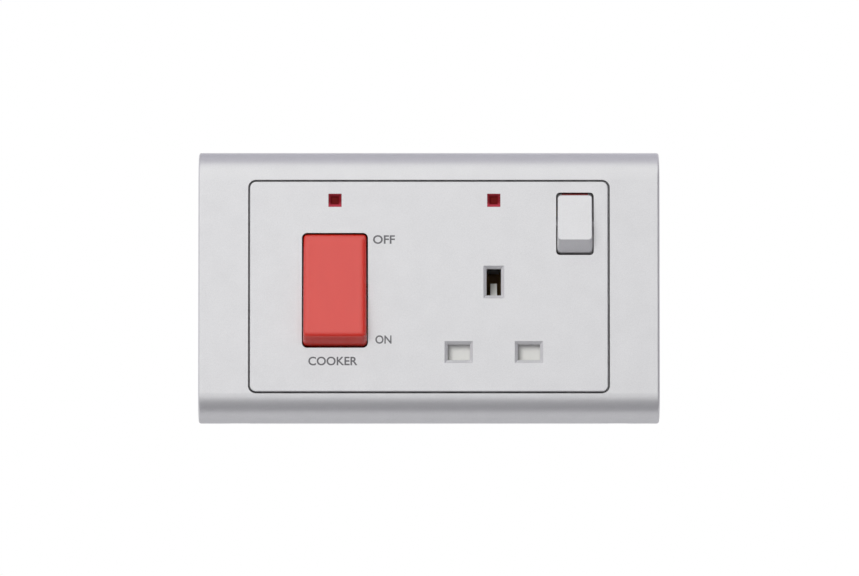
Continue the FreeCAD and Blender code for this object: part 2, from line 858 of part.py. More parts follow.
def bar_reach():
    """Where the bars end on the face of the terminal blocks."""
    return terminal_z - terminal_length / 2 + bar_lap


def make_supply_bar(pole_x):
    path = [(pole_x, -bar_reach()), (pole_x, cooker_z + cradle_half_width)]
    return fuse(flat_strip(path, bar_width, bar_level), cradle(pole_x, cooker_z, bar_level))


def make_load_bar(pole_x):
    path = [(pole_x, fixed_contact_z - 2 * contact_radius), (pole_x, bar_reach())]
    button_front = fixed_contact_front(cooker_seesaw_tilt, cooker_contact_offset)
    button = cylinder_y(pole_x, fixed_contact_z, contact_radius, button_front, bar_level)
    return fuse(flat_strip(path, bar_width, bar_level), button)


def make_live_link():
    start = live_pole_x - bar_width / 2
    path = [(start, live_link_z), (live_link_x, live_link_z),
            (live_link_x, socket_switch_z + cradle_half_width)]
    return fuse(flat_strip(path, link_width, bar_back), cradle(socket_switch_x, socket_switch_z, bar_back))


def make_neutral_link():
    path = [(neutral_pole_x - stud_radius, neutral_link_z), (neutral_x, neutral_link_z),
            (neutral_x, line_z - contact_heel / 2 - contact_sheet)]
    stud = cylinder_y(neutral_pole_x, neutral_link_z, link_stud_radius, bar_back, rear_level)
    return fuse(flat_strip(path, link_width, rear_level), stud)


def make_earth_strap():
    main = [(socket_x + contact_heel / 2, earth_z), (supply_earth_x, earth_z),
            (supply_earth_x, terminal_z - terminal_length / 2)]
    branch = [(load_earth_x, earth_z), (load_earth_x, terminal_z - terminal_length / 2)]
    return fuse(flat_strip(main, link_width, rear_level), flat_strip(branch, link_width, rear_level))


def make_socket_live_bar():
    path = [(socket_switch_x + stud_radius, socket_contact_z), (socket_bar_x, socket_contact_z),
            (socket_bar_x, line_z), (live_x - contact_width / 2, line_z)]
    button_front = fixed_contact_front(socket_seesaw_tilt, socket_contact_offset)
    stud = cylinder_y(socket_switch_x, socket_contact_z, stud_radius, button_front, rear_level)
    return fuse(flat_strip(path, link_width, rear_level), stud)


def contact_path():
    """Half the folded contact's centre line, as (depth, distance from the pin's middle)."""
    half = contact_sheet / 2
    return [
        (contact_front, contact_mouth / 2 + half),
        (contact_throat_depth, contact_throat / 2 + half),
        (rear_level - half, contact_heel / 2 + half),
    ]


def make_line_contact(x):
    path = contact_path()
    folded = path + [(y, -off) for y, off in reversed(path)]
    outline = [(y, line_z + off) for y, off in strip_outline(folded, contact_sheet)]
    return side_profile(outline, x - contact_width / 2, x + contact_width / 2)


def make_earth_contact():
    path = contact_path()
    folded = path + [(y, -off) for y, off in reversed(path)]
    outline = [(socket_x + off, y) for y, off in strip_outline(folded, contact_sheet)]
    return plan_profile(outline, earth_z - earth_contact_width / 2, earth_z + earth_contact_width / 2)


# Shutter

def make_shutter():
    left = neutral_x - shutter_wing
    right = live_x + shutter_wing
    slot_floor = earth_z - earth_slot_height / 2
    stem_top = slot_floor - tongue_drop
    half_stem = stem_width / 2
    half_notch = notch_width / 2
    notch_top = shutter_foot + notch_height
    outline = [
        (left, shutter_foot), (socket_x - half_notch, shutter_foot), (socket_x - half_notch, notch_top),
        (socket_x + half_notch, notch_top), (socket_x + half_notch, shutter_foot), (right, shutter_foot),
        (right, shutter_top), (socket_x + half_stem, shutter_top), (socket_x + half_stem, stem_top),
        (socket_x - half_stem, stem_top), (socket_x - half_stem, shutter_top), (left, shutter_top),
    ]
    plate = flat_profile(outline, shutter_front, shutter_back)
    tip_y = shutter_front + tongue_reach
    tip_back = tip_y + tongue_back
    ramp = [
        (shutter_front, stem_top), (tip_y, earth_z), (tip_back, earth_z),
        (tip_back, slot_floor + tongue_drop), (shutter_back, stem_top - tongue_drop),
        (shutter_front, stem_top - tongue_drop),
    ]
    tongue = side_profile(ramp, socket_x - tongue_width / 2, socket_x + tongue_width / 2)
    return fuse(plate, tongue)


def make_shutter_spring():
    notch_top = shutter_foot + notch_height
    spring = coil(shutter_spring_radius, notch_top - spring_ledge_z, shutter_spring_turns)
    spring.translate(vec(socket_x, (shutter_front + shutter_back) / 2, spring_ledge_z))
    return spring


# Neon indicators

def make_lens(x):
    """A square lens with a dished face, a rear flange and a collar for the lamp."""
    plug = neon_window - 2 * lens_clearance
    flange_back = wall_back + lens_flange_depth
    body = block(x, neon_z, plug, plug, front, wall_back)
    wide = neon_window + 2 * lens_flange
    body = body.fuse(block(x, neon_z, wide, wide, wall_back, flange_back))
    hole = lamp_radius + lamp_clearance
    collar = cylinder_y(x, neon_z, hole + collar_wall, flange_back, flange_back + collar_depth)
    body = body.fuse(collar.cut(cylinder_y(x, neon_z, hole, flange_back, flange_back + collar_depth)))
    rim = plug - 2 * lens_rim
    pane = rim - 2 * lens_dish_draft
    dish = Part.makeLoft([rectangle(x, neon_z, rim, rim, front),
                          rectangle(x, neon_z, pane, pane, front + lens_dish_depth)], True, True)
    return body.cut(dish)


def make_lamp(x):
    """A glass neon lamp with a round nose, lying along Y behind its lens."""
    shoulder = lamp_front + lamp_radius
    body = cylinder_y(x, neon_z, lamp_radius, shoulder, lamp_back)
    nose = Part.makeSphere(lamp_radius, vec(x, shoulder, neon_z), -ALONG_Y, 0, 90)
    return body.fuse(nose).removeSplitter()


def lead_start(x, side):
    return vec(x + side * lead_pitch / 2, lamp_back, neon_z)


def make_lead(x, side, target_x, target_z, target_y):
    """The plain lead, from the lamp to a bar."""
    start = lead_start(x, side)
    return wire_run([
        start, vec(start.x, lead_level, start.z), vec(target_x, lead_level, neon_z),
        vec(target_x, lead_level, target_z), vec(target_x, target_y, target_z),
    ])


def make_resistor(x, side, target_x, target_z, target_y):
    """The series resistor with its two tails, from the lamp to a bar."""
    start = lead_start(x, side)
    tail = wire_run([
        start, vec(start.x, lead_level, start.z), vec(target_x, lead_level, neon_z),
        vec(target_x, lead_level, target_z), vec(target_x, target_y, target_z),
    ])
    middle = (start.x + target_x) / 2
    body = Part.makeCylinder(resistor_radius, resistor_length,
                             vec(middle - resistor_length / 2, lead_level, neon_z), ALONG_X)
    return tail.fuse(body)


def lead_target_z():
    """Where the cooker neon's leads reach the load bars."""
    return terminal_z


# Rear base

def terminal_pocket(x, side):
    """The pocket of one terminal, open to the rear, with its cable notch in the outer wall."""
    z = side * terminal_z
    wide = terminal_width + 2 * terminal_clearance
    tall = terminal_length + 2 * terminal_clearance
    pocket = block(x, z, wide, tall, bar_level - bar_clearance, bank_back)
    wall_middle = side * (bank_outer + base_wall / 2)
    start = vec(x, terminal_bore_y, wall_middle - base_wall)
    notch = Part.makeCylinder(cable_notch_radius, 2 * base_wall, start, ALONG_Z)
    mouth = block(x, wall_middle, 2 * cable_notch_radius, 2 * base_wall, terminal_bore_y, bank_back)
    return [pocket, notch, mouth]


def make_bank(x0, x1, side):
    low, high = sorted((side * bank_inner, side * base_half_height))
    return box(x0, x1, bank_front, bank_back, low, high)


def back_ribs():
    """Low stiffening ribs across the base's back."""
    ribs = []
    for z in (-back_rib_spread, back_rib_spread):
        ribs.append(block(0, z, 2 * base_half_width, back_rib_width, base_depth,
                          base_depth + back_rib_height))
    for x in (socket_x - back_rib_pitch, socket_x, socket_x + back_rib_pitch):
        ribs.append(block(x, 0, back_rib_width, 2 * base_half_height, base_depth,
                          base_depth + back_rib_height))
    return ribs


def make_rear_base():
    body = rounded_block(0, 0, 2 * base_half_width, 2 * base_half_height, base_corner, -base_lap, base_depth)
    hollow = block(0, 0, 2 * (base_half_width - base_wall), 2 * bank_outer, -base_lap, base_floor)
    body = body.cut(hollow)
    edge = terminal_width / 2 + terminal_clearance + bank_margin
    added = [
        make_bank(neutral_terminal_x - edge, load_earth_x + edge, 1),
        make_bank(neutral_terminal_x - edge, live_terminal_x + edge, -1),
        box(cooker_x - barrier_thickness / 2, cooker_x + barrier_thickness / 2, barrier_front,
            base_floor, -bank_inner, bank_inner),
    ]
    for x, z in screw_places():
        added.append(cylinder_y(x, z, column_radius, -base_lap, base_depth))
    for x in (live_pole_x, neutral_pole_x):
        for z in (cooker_z, fixed_contact_z):
            added.append(block(x, z, bar_width, 2 * cradle_half_width, bar_back, base_floor))
    added.append(block(socket_switch_x, socket_switch_z, seesaw_width, 2 * cradle_half_width,
                       link_back, base_floor))
    rear_posts = [
        (socket_switch_x, socket_contact_z), (live_x, line_z), (neutral_x, line_z),
        (socket_x, earth_z), (socket_bar_x, earth_z), (supply_earth_x, earth_z),
        (neutral_pole_x, neutral_link_z),
    ]
    for x, z in rear_posts:
        added.append(cylinder_y(x, z, stud_radius, rear_back, base_floor))
    body = body.fuse(added + back_ribs())

    cuts = []
    for x, side in terminal_places():
        cuts += terminal_pocket(x, side)
    slit = bar_width + 2 * bar_clearance
    for x in (live_pole_x, neutral_pole_x):
        for side in (-1, 1):
            wall_middle = side * (bank_inner + bank_wall / 2)
            cuts.append(block(x, wall_middle, slit, 2 * bank_wall,
                              bar_level - bar_clearance, bar_back + bar_clearance))
    thin_slit = link_width + 2 * bar_clearance
    for x in (supply_earth_x, load_earth_x):
        cuts.append(block(x, bank_inner + bank_wall / 2, thin_slit, 2 * bank_wall,
                          rear_level - bar_clearance, rear_back + bar_clearance))
    cuts.append(block(cooker_x, neutral_link_z, 2 * barrier_thickness, thin_slit,
                      rear_level - bar_clearance, base_floor))
    cuts.append(box(live_pole_x - bar_width / 2 - bar_clearance, live_link_x,
                    bar_back - bar_clearance, link_back + bar_clearance,
                    live_link_z - thin_slit / 2, live_link_z + thin_slit / 2))
    for x in (live_pole_x, neutral_pole_x):
        cuts.append(cylinder_y(x, lead_target_z(), lead_hole_radius, bank_front, bar_level))
    for x in (cooker_x, socket_x):
        cuts.append(cylinder_y(x, neon_z, lamp_radius + lamp_clearance, -base_lap, bank_front))
    for x, z in screw_places():
        shank_hole = base_screw_radius + base_screw_clearance
        cuts.append(cylinder_y(x, z, shank_hole, -base_lap, base_depth))
        cuts.append(cylinder_y(x, z, base_screw_head_radius + base_screw_clearance,
                               base_screw_head_depth, base_depth))
    return body.cut(cuts)


def cooker_placed(shape):
    return posed(shape, -cooker_tilt, cooker_x, cooker_pivot_y, cooker_z)


def socket_placed(shape):
    return posed(shape, -socket_tilt, socket_switch_x, socket_pivot_y, socket_switch_z)


def make_all():
    half_pitch = cooker_pole_pitch / 2
    cooker_seesaw = seesaw_level(cooker_seesaw_length, cooker_contact_offset)
    socket_seesaw = seesaw_level(socket_seesaw_length, socket_contact_offset)
    socket_rocker = socket_rocker_level().cut(flag_level())
    return {
        "surround_frame": make_surround(),
        "front_plate": make_front_plate(),
        "rear_base": make_rear_base(),
        "base_screws": make_base_screws(),
        "terminal_screws": make_terminal_screws(),
        "cooker_rocker": cooker_placed(cooker_rocker_level()),
        "cooker_live_plunger": cooker_placed(plunger_level(half_pitch, cooker_pivot_y, cooker_tube_reach)),
        "cooker_neutral_plunger": cooker_placed(
            plunger_level(-half_pitch, cooker_pivot_y, cooker_tube_reach)),
        "cooker_live_spring": cooker_placed(
            plunger_spring_level(half_pitch, cooker_face_reach, cooker_tube_reach)),
        "cooker_neutral_spring": cooker_placed(
            plunger_spring_level(-half_pitch, cooker_face_reach, cooker_tube_reach)),
        "cooker_live_contact": posed(
            cooker_seesaw, cooker_seesaw_tilt, live_pole_x, seesaw_axis_depth, cooker_z),
        "cooker_neutral_contact": posed(
            cooker_seesaw, cooker_seesaw_tilt, neutral_pole_x, seesaw_axis_depth, cooker_z),
        "socket_rocker": socket_placed(socket_rocker),
        "socket_rocker_flag": socket_placed(flag_level()),
        "socket_plunger": socket_placed(plunger_level(0, socket_pivot_y, socket_tube_reach)),
        "socket_spring": socket_placed(plunger_spring_level(0, socket_face_reach, socket_tube_reach)),
        "socket_switch_contact": posed(
            socket_seesaw, socket_seesaw_tilt, socket_switch_x, seesaw_axis_depth, socket_switch_z),
        "supply_live_terminal": make_terminal(live_terminal_x, -1),
        "supply_neutral_terminal": make_terminal(neutral_terminal_x, -1),
        "load_live_terminal": make_terminal(live_terminal_x, 1),
        "load_neutral_terminal": make_terminal(neutral_terminal_x, 1),
        "supply_earth_terminal": make_terminal(supply_earth_x, 1),
        "load_earth_terminal": make_terminal(load_earth_x, 1),
        "supply_live_bar": make_supply_bar(live_pole_x),
        "supply_neutral_bar": make_supply_bar(neutral_pole_x),
        "load_live_bar": make_load_bar(live_pole_x),
        "load_neutral_bar": make_load_bar(neutral_pole_x),
        "live_link": make_live_link(),
        "neutral_link": make_neutral_link(),
        "earth_strap": make_earth_strap(),
        "socket_live_bar": make_socket_live_bar(),
        "socket_live_contact": make_line_contact(live_x),
        "socket_neutral_contact": make_line_contact(neutral_x),
        "socket_earth_contact": make_earth_contact(),
        "shutter": make_shutter(),
        "shutter_spring": make_shutter_spring(),
        "cooker_neon_lens": make_lens(cooker_x),
        "cooker_neon_lamp": make_lamp(cooker_x),
        "cooker_neon_resistor": make_resistor(cooker_x, 1, live_pole_x, lead_target_z(), bar_level),
        "cooker_neon_lead": make_lead(cooker_x, -1, neutral_pole_x, lead_target_z(), bar_level),
        "socket_neon_lens": make_lens(socket_x),
        "socket_neon_lamp": make_lamp(socket_x),
        "socket_neon_resistor": make_resistor(socket_x, 1, socket_bar_x, socket_contact_z, rear_level),
        "socket_neon_lead": make_lead(socket_x, -1, neutral_x, neutral_link_z, rear_level),
    }


os.makedirs("parts", exist_ok=True)
for node, shape in make_all().items():
    shape.exportStep(f"parts/{node}.step")
    print(node, len(shape.Solids), shape.isValid(), round(shape.Volume, 2))
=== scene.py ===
# %% [markdown]
# # A cooker control unit
# The unit is a wall plate with a big red rocker for the cooker, a shuttered socket with its own
# small rocker, and two neon windows. A clip-on surround frames the fascia, and a moulded base
# behind it carries the terminals. The solids come from CAD and stay as they are, so this lesson
# sets up a studio, gives each solid a finish, models what is printed or marked on it, and puts
# smooth copies in place of the springs.

# %% Load the frame
import bpy
import json
import math
from mathutils import Matrix, Vector

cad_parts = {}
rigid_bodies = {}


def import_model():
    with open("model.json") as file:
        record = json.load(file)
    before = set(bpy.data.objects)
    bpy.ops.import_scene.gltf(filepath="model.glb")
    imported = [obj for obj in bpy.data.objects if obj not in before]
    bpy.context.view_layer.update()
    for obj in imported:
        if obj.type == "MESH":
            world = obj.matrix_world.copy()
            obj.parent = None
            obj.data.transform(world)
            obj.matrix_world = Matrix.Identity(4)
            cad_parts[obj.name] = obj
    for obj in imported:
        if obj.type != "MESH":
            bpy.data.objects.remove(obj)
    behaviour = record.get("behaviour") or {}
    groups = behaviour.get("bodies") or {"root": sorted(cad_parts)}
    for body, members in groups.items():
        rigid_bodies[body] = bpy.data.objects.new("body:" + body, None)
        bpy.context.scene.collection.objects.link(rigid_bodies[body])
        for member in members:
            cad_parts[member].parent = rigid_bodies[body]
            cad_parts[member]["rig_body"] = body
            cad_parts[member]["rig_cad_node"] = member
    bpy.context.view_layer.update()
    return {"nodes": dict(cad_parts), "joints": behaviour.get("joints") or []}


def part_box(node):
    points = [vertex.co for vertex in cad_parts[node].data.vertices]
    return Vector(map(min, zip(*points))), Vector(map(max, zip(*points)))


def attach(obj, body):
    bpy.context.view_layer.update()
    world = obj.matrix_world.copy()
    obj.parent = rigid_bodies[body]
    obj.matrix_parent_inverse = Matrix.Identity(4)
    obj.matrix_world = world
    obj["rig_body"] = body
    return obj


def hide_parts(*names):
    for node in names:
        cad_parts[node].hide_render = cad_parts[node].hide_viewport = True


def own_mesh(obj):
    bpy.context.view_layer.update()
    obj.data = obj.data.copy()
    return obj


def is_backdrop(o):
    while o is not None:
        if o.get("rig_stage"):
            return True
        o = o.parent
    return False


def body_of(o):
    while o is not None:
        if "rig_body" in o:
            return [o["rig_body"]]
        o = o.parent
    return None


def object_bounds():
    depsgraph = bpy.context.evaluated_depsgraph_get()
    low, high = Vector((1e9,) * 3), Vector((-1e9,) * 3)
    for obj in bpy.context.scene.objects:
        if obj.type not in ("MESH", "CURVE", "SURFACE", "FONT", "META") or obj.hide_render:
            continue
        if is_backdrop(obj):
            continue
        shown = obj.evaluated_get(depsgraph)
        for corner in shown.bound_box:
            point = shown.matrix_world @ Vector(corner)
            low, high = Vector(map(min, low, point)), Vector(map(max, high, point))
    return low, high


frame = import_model()
MM = 0.001

# %% [markdown]
# ## The camera
# The photograph looks at the plate from straight in front and a few degrees below, with almost no
# perspective. A long lens far away gives that. The camera could be placed by hand in the viewport,
# but three measured numbers place it exactly: where it aims, how far below it stands, and how wide
# the picture is at the fascia.

# %% Camera
aim = Vector((0.17, -10.0, -0.47)) * MM
below = math.radians(3.3)
distance = 2.5
picture_width = 0.2718
sensor = 36
bpy.ops.object.select_all(action="DESELECT")
toward_camera = Vector((0, -math.cos(below), -math.sin(below)))
bpy.ops.object.camera_add(location=aim + toward_camera * distance)
camera = bpy.context.object
camera.rotation_euler = (-toward_camera).to_track_quat("-Z", "Y").to_euler()
camera.data.sensor_width = sensor
camera.data.lens = sensor * distance / picture_width
camera.data.clip_start = 0.01
bpy.context.scene.camera = camera
bpy.context.scene.view_settings.view_transform = "Standard"
print("lens:", round(camera.data.lens, 1), "mm")

# %% [markdown]
# ## Sums on shader nodes
# A finish is a handful of patterns added, multiplied and mixed. Nodes can be dragged together in
# the shader editor, but a long chain of Math nodes is hard to read back. Here a small class wraps
# one output of a node, so `1 - spots * 0.5` writes the Math nodes by itself, and one method makes
# every other kind of node.

# %% A reading that can be added and multiplied
class Reading:
    """One output of a node. Sums written with it become Math nodes."""

    def __init__(self, finish, output):
        self.finish = finish
        self.output = output

    def sum(self, operation, first, second):
        return self.finish.node("ShaderNodeMath", {"operation": operation}, {0: first, 1: second})

    def __add__(self, other):
        return self.sum("ADD", self, other)

    def __sub__(self, other):
        return self.sum("SUBTRACT", self, other)

    def __rsub__(self, other):
        return self.sum("SUBTRACT", other, self)

    def __mul__(self, other):
        return self.sum("MULTIPLY", self, other)

    def __gt__(self, other):
        return self.sum("GREATER_THAN", self, other)

    def __lt__(self, other):
        return self.sum("LESS_THAN", self, other)

    __radd__ = __add__
    __rmul__ = __mul__


print("sums ready")

# %% A finish and its nodes
class Finish:
    """A node tree, one way of adding a node to it, and the patterns that the finishes share."""

    def __init__(self, tree):
        self.tree = tree

    def give(self, socket, value):
        """Links a reading to a socket, or sets a plain value on it."""
        if isinstance(value, Reading):
            self.tree.links.new(value.output, socket)
        else:
            socket.default_value = value

    def node(self, kind, settings=(), sockets=(), output=0):
        """Adds a node, sets it up, feeds its sockets, and returns one of its outputs."""
        made = self.tree.nodes.new(kind)
        for name, value in dict(settings).items():
            setattr(made, name, value)
        for key, value in dict(sockets).items():
            self.give(made.inputs[key], value)
        return Reading(self, made.outputs[output])

    def place(self):
        """Where a point lies in the frame, in metres."""
        return self.node("ShaderNodeTexCoord", output="Object")

    def along(self, way, vector=None):
        """The X, Y or Z part of a vector, or of the place."""
        if vector is None:
            vector = self.place()
        return self.node("ShaderNodeSeparateXYZ", {}, {0: vector}, output=way)

    def grain(self, size, stretch=(1, 1, 1), detail=2.0):
        """A noise with lumps of about the given size."""
        scaled = self.node("ShaderNodeMapping", {"vector_type": "POINT"},
                           {"Vector": self.place(), "Scale": [way / size for way in stretch]})
        return self.node("ShaderNodeTexNoise", {}, {"Vector": scaled, "Scale": 1.0, "Detail": detail})

    def spread(self, reading, low, high):
        """Stretches a reading, so that low becomes 0 and high becomes 1."""
        return self.node("ShaderNodeMapRange", {"clamp": True},
                         {"Value": reading, "From Min": low, "From Max": high})

    def mix(self, share, first, second):
        """The first colour where the share is 0, and the second where it is 1."""
        return self.node("ShaderNodeMix", {"data_type": "RGBA"}, {0: share, 6: first, 7: second}, output=2)

    def bump(self, height, depth, **over):
        """Tilts the normal as a relief of the given depth would."""
        sockets = {"Height": height, "Distance": depth, "Strength": 1.0, **over}
        return self.node("ShaderNodeBump", {}, sockets)


print("finishes ready")

# %% A new material
def tint(red, green, blue):
    """A colour that nothing shines through."""
    return (red, green, blue, 1.0)


def new_finish(name, **constants):
    """Makes a material with constant values set on its shader, and returns it ready for patterns."""
    material = bpy.data.materials.new(name)
    material.use_nodes = True
    finish = Finish(material.node_tree)
    finish.material = material
    finish.shader = material.node_tree.nodes["Principled BSDF"]
    for socket, value in constants.items():
        finish.shader.inputs[socket.replace("_", " ")].default_value = value
    return finish


def vary(finish, **readings):
    """Feeds patterns to the shader's sockets."""
    for socket, reading in readings.items():
        finish.give(finish.shader.inputs[socket.replace("_", " ")], reading)


dressed = set()


def dress(finish, *nodes):
    """Gives a finish to CAD solids."""
    for node in nodes:
        solid = frame["nodes"][node]
        solid.data.materials.clear()
        solid.data.materials.append(finish.material)
        dressed.add(node)
    print(finish.material.name, "on", len(nodes), "solids")


print("materials ready")

# %% [markdown]
# ## The studio
# The photograph shows the unit against plain white, lit softly from in front, above and to the left,
# so a large lamp stands there. A weaker one lights the back for the other views. The floor is a pale
# sheet below the picture. The camera sees it pale, but it gives back less light than that, so that
# undersides stay shaded. The world is white where the camera, metal and glass look at it, and dimmer
# as a lamp, so the background stays white without pouring more light on the unit. Cards stand in for
# the darker parts of the room, and only reflections see them: a dark one low in front gives the
# rolled bottom edge its dark band. The shade in the photograph is faintly lilac, so the cards are too.

# %% Floor
floor_level = -0.165
floor_side = 6
bpy.ops.object.select_all(action="DESELECT")
bpy.ops.mesh.primitive_plane_add(size=floor_side, location=(0, 0, floor_level))
floor = bpy.context.object
floor.name = "floor"
paper = new_finish("pale_paper", Roughness=0.9)
fibres = paper.grain(4 * MM)
sheet = paper.mix(fibres, tint(0.86, 0.86, 0.86), tint(0.90, 0.90, 0.90))
given_back = tint(0.50, 0.485, 0.55)
bounce = paper.node("ShaderNodeLightPath", output="Is Diffuse Ray")
vary(paper, Base_Color=paper.mix(bounce, sheet, given_back))
floor.data.materials.append(paper.material)
floor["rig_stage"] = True
print("floor at", floor_level, "m")

# %% Cards that only reflections see
def card(name, middle, sides, turn, finish):
    """A flat card beside the unit: metal and gloss reflect it, and it casts no shade."""
    bpy.ops.object.select_all(action="DESELECT")
    angles = [math.radians(angle) for angle in turn]
    bpy.ops.mesh.primitive_plane_add(size=1, location=middle, rotation=angles)
    made = bpy.context.object
    made.name = name
    made.scale = (sides[0], sides[1], 1)
    bpy.ops.object.transform_apply(location=True, rotation=True, scale=True)
    made.visible_camera = False
    made.visible_diffuse = False
    made.visible_shadow = False
    made.data.materials.append(finish.material)
    made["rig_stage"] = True
    print(name, "at", [round(way, 2) for way in middle])


def lilac_grey(level):
    """A grey with a faint cast of lilac."""
    return tint(level, level * 0.985, level * 1.05)


def felt(name, dark, pale):
    """Matt cloth for a card."""
    cloth = new_finish(name, Roughness=1.0)
    vary(cloth, Base_Color=cloth.mix(cloth.grain(2 * MM), lilac_grey(dark), lilac_grey(pale)))
    return cloth


dark_felt = felt("dark_felt", 0.11, 0.14)
mid_felt = felt("mid_felt", 0.56, 0.62)
grey_felt = felt("grey_felt", 0.92, 0.95)
lying = (0, 0, 0)
standing_aside = (0, 90, 0)
facing_the_unit = (90, 0, 45)
card("low_card", (0, -0.130, -0.129), (0.7, 0.191), lying, dark_felt)
card("top_card", (0, 0.45, 0.6), (2.0, 1.2), lying, grey_felt)
card("left_card", (-0.6, 0.15, 0.1), (1.2, 0.7), standing_aside, grey_felt)
card("right_card", (0.6, 0.15, 0.1), (1.2, 0.7), standing_aside, mid_felt)
card("front_right_card", (0.75, -0.65, 0.1), (0.85, 1.2), facing_the_unit, dark_felt)

# %% World
room_light = tint(0.37, 0.37, 0.38)
world = bpy.data.worlds.new("white_room")
bpy.context.scene.world = world
world.use_nodes = True
air = Finish(world.node_tree)
sight = {way: air.node("ShaderNodeLightPath", output=way)
         for way in ("Is Camera Ray", "Is Glossy Ray", "Is Transmission Ray")}
seen = (sight["Is Camera Ray"] + sight["Is Glossy Ray"] + sight["Is Transmission Ray"]) > 0.5
background = world.node_tree.nodes["Background"]
air.give(background.inputs["Color"], air.mix(seen, room_light, tint(1, 1, 1)))
background.inputs["Strength"].default_value = 1.0
print("world ready")

# %% Lamps
def soft_lamp(name, place, width, height, power):
    """A soft rectangular lamp aimed at the unit. It lights the unit, and nothing reflects it."""
    bpy.ops.object.select_all(action="DESELECT")
    bpy.ops.object.light_add(type="AREA", location=place)
    lamp = bpy.context.object
    lamp.name = name
    lamp.data.shape = "RECTANGLE"
    lamp.data.size = width
    lamp.data.size_y = height
    lamp.data.energy = power
    lamp.rotation_euler = Vector(place).to_track_quat("Z", "Y").to_euler()
    lamp.visible_camera = False
    lamp.visible_glossy = False
    print(name, "gives", power, "W")


soft_lamp("key_lamp", (-0.88, -2.52, 0.88), width=1.2, height=1.2, power=48.5)
soft_lamp("back_lamp", (0.6, 1.1, 0.45), width=1.0, height=0.8, power=8.0)

# %% [markdown]
# ## Silver satin
# The surround, the fascia and the small rocker are moulded plastic under a satin silver lacquer:
# tiny aluminium flakes in a clear binder, sprayed so that the surface keeps a faint orange peel.
# A plain grey metal would look dead, so the flakes vary the colour and the roughness at a tenth of
# a millimetre, and two depths of bump give the lacquer its skin. It is sprayed from the front, so
# faces that look backwards stay bare grey plastic. The surface's own normal tells which those are.

# %% Silver satin
silver = new_finish("silver_satin")
flakes = silver.spread(silver.grain(0.14 * MM, detail=1.0), 0.30, 0.72)
clouds = silver.grain(6 * MM)
peel = silver.grain(0.8 * MM, detail=1.0)
lacquer = silver.mix(flakes * 0.7 + clouds * 0.3, tint(0.715, 0.715, 0.72), tint(0.85, 0.85, 0.855))
plastic = silver.mix(clouds, tint(0.56, 0.56, 0.55), tint(0.62, 0.62, 0.61))
facing = silver.node("ShaderNodeTexCoord", output="Normal")
bare = silver.spread(silver.along("Y", facing), 0.55, 0.75)
share_of_metal = 0.66
vary(silver,
     Base_Color=silver.mix(bare, lacquer, plastic),
     Metallic=share_of_metal - bare * share_of_metal,
     Roughness=0.36 + flakes * 0.10 - clouds * 0.04 + bare * 0.12,
     Normal=silver.bump(flakes * 0.5 + peel, 0.004 * MM))
dress(silver, "surround_frame", "front_plate", "socket_rocker")

# %% [markdown]
# ## Glossy red
# The cooker rocker is solid-coloured urea, moulded in a polished tool. Its face picks up the white
# room as a pale wash, while its edges stay deep red. Flow in the mould leaves very slight swirls in
# the colour, and fingers leave faint dull patches, so both are drawn weakly. The real edges look
# rounder than the solid's, so a Bevel node turns the normals near an edge and leaves the mesh as it
# is. A clear coat would keep the solid's own normals, so one strong reflection is used without it.

# %% Glossy red
red = new_finish("gloss_red", IOR=1.60, Specular_IOR_Level=1.0)
swirl = red.grain(5 * MM, stretch=(1, 1, 0.4), detail=3.0)
touch = red.grain(6 * MM, detail=0.0)
skin = red.grain(0.5 * MM, detail=1.0)
edge_radius = 3.0 * MM
rounded = red.node("ShaderNodeBevel", {"samples": 8}, {"Radius": edge_radius})
vary(red,
     Base_Color=red.mix(swirl, tint(0.66, 0.017, 0.005), tint(0.71, 0.022, 0.007)),
     Roughness=0.09 + touch * 0.05,
     Normal=red.bump(skin, 0.0015 * MM, Normal=rounded))
dress(red, "cooker_rocker")

# %% [markdown]
# ## The ON flag
# A red inlay lies across the top of the small rocker. Its colour is made a deeper red than its own,
# as painted shade, because it hides behind the fascia's edge while the switch is off, so only a thin
# dark line of it shows. It is satin, with a fine mottle.

# %% The ON flag
flag = new_finish("flag_red", IOR=1.50)
mottle = flag.grain(0.3 * MM, detail=3.0)
# painted shade: the inlay's red is made deeper than its own colour
vary(flag,
     Base_Color=flag.mix(mottle, tint(0.40, 0.010, 0.009), tint(0.48, 0.014, 0.012)),
     Roughness=0.34 + mottle * 0.12,
     Normal=flag.bump(mottle, 0.002 * MM))
dress(flag, "socket_rocker_flag")

# %% [markdown]
# ## Neon windows
# Each window is a clear red lens with a shallow dish, over a neon lamp in the dark. Unlit, it looks
# nearly black-red in the middle, while its sloped rim pipes light round and glows, most of all at
# the lower ledge. Tracing that through real glass needs many bounces, so light and shade are
# painted into the colour instead, read from the place: the pane is painted dark as the shade behind
# it, the rim gets a painted glow by how deep a point lies in the dish, and the ledge gets a painted
# highlight by how near it a point lies. Both windows lie at one height, so the places are taken
# from one lens.

# %% Neon windows
lens_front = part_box("cooker_neon_lens")[0].y
lens_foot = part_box("cooker_neon_lens")[0].z
lens = new_finish("neon_lens", Transmission_Weight=0.10, IOR=1.49, Specular_IOR_Level=0.03)
cloud = lens.grain(0.9 * MM)
deep = lens.along("Y")
height = lens.along("Z")
# painted light: the rim and ledge masks paint a glow and a highlight into the colour, and the pane's dark
# red is painted shade of the dark behind the lens
painted_rim_glow = lens.spread(deep, lens_front + 0.75 * MM, lens_front + 0.25 * MM)
painted_ledge_highlight = lens.spread(height, lens_foot + 2.4 * MM, lens_foot + 1.6 * MM)
painted_dark_pane = lens.mix(cloud, tint(0.125, 0.003, 0.003), tint(0.165, 0.006, 0.006))
vary(lens,
     Base_Color=lens.mix(painted_rim_glow * 0.3 + painted_rim_glow * painted_ledge_highlight * 0.7, painted_dark_pane, tint(0.54, 0.060, 0.090)),
     Roughness=0.14 + cloud * 0.08)
dress(lens, "cooker_neon_lens", "socket_neon_lens")

